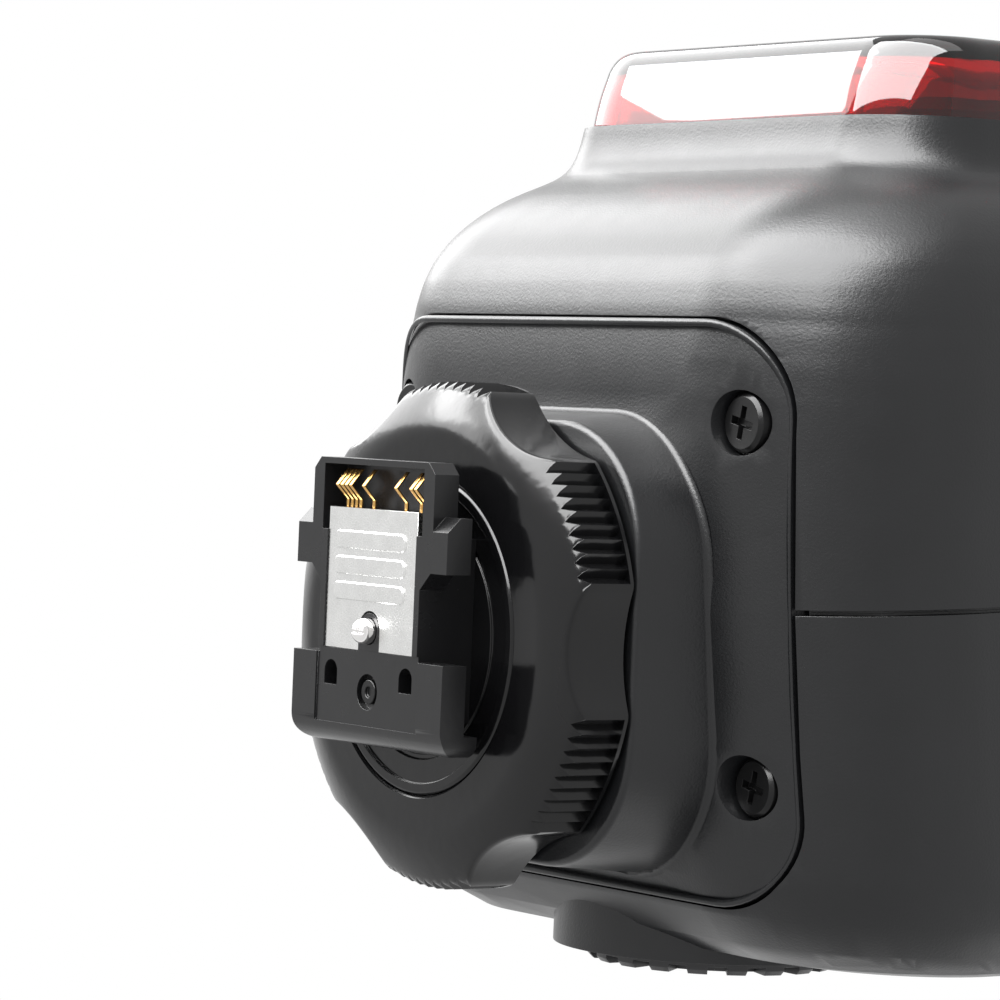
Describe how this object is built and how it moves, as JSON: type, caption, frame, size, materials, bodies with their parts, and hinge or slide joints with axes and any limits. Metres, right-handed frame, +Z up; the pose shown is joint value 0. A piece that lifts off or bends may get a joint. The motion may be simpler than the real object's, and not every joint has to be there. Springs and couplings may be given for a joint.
{
  "type": "camera flash",
  "caption": "Hot-shoe camera flash with a scalloped, knurled lock ring, red lamp window, screen, keys, dial, side battery and a swivelling, tilting zoom head.",
  "frame": {"origin": "on the lock ring's axis at the underside of the shoe foot", "axes": "+Z up from the shoe to the head, -Y the front with the red window and lens, +X the side of the sockets"},
  "size_m": [0.0762, 0.1089, 0.1578],
  "materials": {
    "shell": "charcoal, fine spark-eroded texture",
    "foot": "black, semi-gloss moulding",
    "ring": "black, semi-gloss with orange peel",
    "contact_steel": "bright satin",
    "gold": "gold plated",
    "pin_chrome": "polished",
    "screw_black": "black oxide",
    "red_filter": "gloss red, translucent",
    "lamp": "clear domes over dark seats",
    "screen_glass": "clear, smoked edge",
    "screen": "grey-green display face",
    "key": "satin black",
    "dial": "satin black, ribbed edge",
    "battery": "charcoal, as the body",
    "inner_black": "plain moulding",
    "soft_cover": "soft matt",
    "socket_steel": "nickel plated",
    "board": "green lacquer",
    "capacitor": "dark sleeve",
    "axle_steel": "ground",
    "bezel": "satin black frame",
    "lens": "clear, ringed",
    "white_card": "white",
    "reflector": "bright",
    "tube": "clear"
  },
  "bodies": {
    "flash_body": {"shoe_foot": "foot", "contact_plate": "contact_steel", "contact_springs": "gold", "foot_screw": "screw_black", "foot_flange": "foot", "base_plate": "shell", "base_screws": "screw_black", "front_shell": "shell", "rear_shell": "shell", "red_window": "red_filter", "window_lamps": "lamp", "lcd_window": "screen_glass", "lcd_panel": "screen", "battery_bay": "inner_black", "battery_terminals": "gold", "sync_socket": "socket_steel", "usb_socket": "socket_steel", "circuit_board": "board", "main_capacitor": "capacitor"},
    "ring": {"lock_ring": "ring"},
    "pin": {"lock_pin": "pin_chrome"},
    "dial": {"dial_ring": "dial"},
    "set_key": {"set_button": "key"},
    "key_1": {"soft_key_1": "key"},
    "key_2": {"soft_key_2": "key"},
    "key_3": {"soft_key_3": "key"},
    "key_4": {"soft_key_4": "key"},
    "mode_key": {"mode_button": "key"},
    "test_key": {"test_button": "key"},
    "power_slider": {"power_switch": "key"},
    "battery": {"battery_pack": "battery"},
    "latch": {"battery_latch": "key"},
    "socket_cover": {"port_cover": "soft_cover"},
    "swivel": {"swivel_base": "shell", "swivel_retainer": "inner_black", "neck": "shell", "tilt_axle": "axle_steel"},
    "head": {"head_lower_shell": "shell", "head_upper_shell": "shell", "head_screws": "screw_black", "pivot_cap": "bezel", "head_bezel": "bezel", "fresnel_lens": "lens", "card_tray": "inner_black", "guide_rods": "axle_steel", "zoom_motor": "socket_steel"},
    "release": {"release_button": "key"},
    "zoom": {"zoom_carriage": "inner_black", "reflector": "reflector", "flash_tube": "tube"},
    "zoom_screw": {"lead_screw": "gold"},
    "white_card": {"bounce_card": "white_card"},
    "clear_panel": {"wide_panel": "lens"}
  },
  "joints": [
    {"name": "lock_ring_turn", "type": "hinge", "parent": "flash_body", "child": "ring", "pos_m": [0, 0, 0.0072], "axis": [0, 0, 1], "range_deg": [0, 40]},
    {"name": "lock_pin_slide", "type": "slide", "parent": "flash_body", "child": "pin", "axis": [0, 0, 1], "range_m": [0, 0.0015]},
    {"name": "dial_turn", "type": "hinge", "parent": "flash_body", "child": "dial", "pos_m": [0, 0.022, 0.0318], "axis": [0, 1, 0], "continuous": true},
    {"name": "set_press", "type": "slide", "parent": "flash_body", "child": "set_key", "axis": [0, -1, 0], "range_m": [0, 0.0006], "stiffness_N_per_m": 400},
    {"name": "key_1_press", "type": "slide", "parent": "flash_body", "child": "key_1", "axis": [0, -1, 0], "range_m": [0, 0.0006], "stiffness_N_per_m": 400},
    {"name": "key_2_press", "type": "slide", "parent": "flash_body", "child": "key_2", "axis": [0, -1, 0], "range_m": [0, 0.0006], "stiffness_N_per_m": 400},
    {"name": "key_3_press", "type": "slide", "parent": "flash_body", "child": "key_3", "axis": [0, -1, 0], "range_m": [0, 0.0006], "stiffness_N_per_m": 400},
    {"name": "key_4_press", "type": "slide", "parent": "flash_body", "child": "key_4", "axis": [0, -1, 0], "range_m": [0, 0.0006], "stiffness_N_per_m": 400},
    {"name": "mode_press", "type": "slide", "parent": "flash_body", "child": "mode_key", "axis": [0, -1, 0], "range_m": [0, 0.0006], "stiffness_N_per_m": 400},
    {"name": "test_press", "type": "slide", "parent": "flash_body", "child": "test_key", "axis": [0, -1, 0], "range_m": [0, 0.0006], "stiffness_N_per_m": 400},
    {"name": "power_slide", "type": "slide", "parent": "flash_body", "child": "power_slider", "axis": [1, 0, 0], "range_m": [0, 0.0032]},
    {"name": "battery_slide", "type": "slide", "parent": "flash_body", "child": "battery", "axis": [-1, 0, 0], "range_m": [0, 0.04]},
    {"name": "latch_slide", "type": "slide", "parent": "flash_body", "child": "latch", "axis": [0, 0, -1], "range_m": [0, 0.003], "stiffness_N_per_m": 300},
    {"name": "cover_hinge", "type": "hinge", "parent": "flash_body", "child": "socket_cover", "pos_m": [0.0287, -0.0086, 0.065], "axis": [0, 0, 1], "range_deg": [0, 110]},
    {"name": "head_pan", "type": "hinge", "parent": "flash_body", "child": "swivel", "pos_m": [0, -0.002, 0.1023], "axis": [0, 0, 1], "range_deg": [-180, 180]},
    {"name": "head_tilt", "type": "hinge", "parent": "swivel", "child": "head", "pos_m": [0, -0.002, 0.124], "axis": [-1, 0, 0], "range_deg": [-7, 90]},
    {"name": "release_press", "type": "slide", "parent": "head", "child": "release", "axis": [1, 0, 0], "range_m": [0, 0.0014], "stiffness_N_per_m": 400},
    {"name": "zoom_slide", "type": "slide", "parent": "head", "child": "zoom", "axis": [0, 1, 0], "range_m": [0, 0.012]},
    {"name": "lead_screw_spin", "type": "hinge", "parent": "head", "child": "zoom_screw", "pos_m": [0, -0.04, 0.1119], "axis": [0, 1, 0], "range_deg": [0, 721]},
    {"name": "card_slide", "type": "slide", "parent": "head", "child": "white_card", "axis": [0, -1, 0], "range_m": [0, 0.04]},
    {"name": "panel_slide", "type": "slide", "parent": "head", "child": "clear_panel", "axis": [0, -1, 0], "range_m": [0, 0.04]}
  ],
  "couplings": [
    {"joint": "lock_pin_slide", "follows": "lock_ring_turn", "m_per_rad": 0.002148},
    {"joint": "lead_screw_spin", "follows": "zoom_slide", "rad_per_m": 1047}
  ]
}
